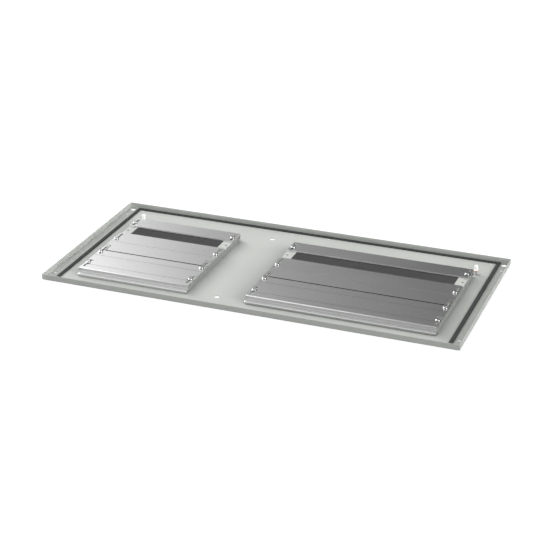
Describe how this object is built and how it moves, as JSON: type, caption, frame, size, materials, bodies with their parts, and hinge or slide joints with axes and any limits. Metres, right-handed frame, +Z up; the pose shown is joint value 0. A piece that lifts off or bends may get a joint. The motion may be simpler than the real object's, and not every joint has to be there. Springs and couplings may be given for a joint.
{
  "type": "cable entry plate",
  "caption": "Painted sheet steel enclosure plate with a sealed rim and slotted aluminium slide plates that clamp cables between foam strips.",
  "frame": {"origin": "middle of the tray in plan, on its underside", "axes": "+X along the tray from the short entry to the long one, +Y from the foot plates towards the cable gaps, +Z up out of the tray, the way its rim stands"},
  "size_m": [1.2, 0.567, 0.0287],
  "materials": {
    "grey_paint": "light grey powder coat, fine texture, semi-matt",
    "gasket_foam": "dark grey foamed seal, matt",
    "plate_aluminium": "extruded aluminium, mill finish, satin with fine lines along its length",
    "cable_foam": "black cellular rubber, matt",
    "zinc_steel": "bright zinc plated steel",
    "copper": "plain copper, satin",
    "white_plastic": "white soft plastic"
  },
  "bodies": {
    "base": {"base_tray": "grey_paint", "rim_gasket": "gasket_foam", "left_entry_left_rail": "grey_paint", "left_entry_right_rail": "grey_paint", "left_entry_middle_plate": "plate_aluminium", "left_entry_rear_foam": "cable_foam", "left_entry_front_foam": "cable_foam", "left_entry_screws": "zinc_steel", "left_entry_washers": "zinc_steel", "left_entry_weld_nuts": "zinc_steel", "right_entry_left_rail": "grey_paint", "right_entry_right_rail": "grey_paint", "right_entry_middle_plate": "plate_aluminium", "right_entry_rear_foam": "cable_foam", "right_entry_front_foam": "cable_foam", "right_entry_screws": "zinc_steel", "right_entry_washers": "zinc_steel", "right_entry_weld_nuts": "zinc_steel", "earth_studs": "zinc_steel", "earth_contact_washers": "copper", "earth_nuts": "zinc_steel", "earth_stud_caps": "white_plastic"},
    "left_rear_slide": {"left_entry_rear_plate": "plate_aluminium"},
    "left_front_slide": {"left_entry_front_plate": "plate_aluminium"},
    "right_rear_slide": {"right_entry_rear_plate": "plate_aluminium"},
    "right_front_slide": {"right_entry_front_plate": "plate_aluminium"}
  },
  "joints": [
    {"name": "left_rear_plate_slide", "type": "slide", "parent": "base", "child": "left_rear_slide", "axis": [0, 1, 0], "range_m": [-0.023, 0.009]},
    {"name": "left_front_plate_slide", "type": "slide", "parent": "base", "child": "left_front_slide", "axis": [0, -1, 0], "range_m": [0, 0.0125]},
    {"name": "right_rear_plate_slide", "type": "slide", "parent": "base", "child": "right_rear_slide", "axis": [0, 1, 0], "range_m": [-0.023, 0.009]},
    {"name": "right_front_plate_slide", "type": "slide", "parent": "base", "child": "right_front_slide", "axis": [0, -1, 0], "range_m": [0, 0.0125]}
  ]
}
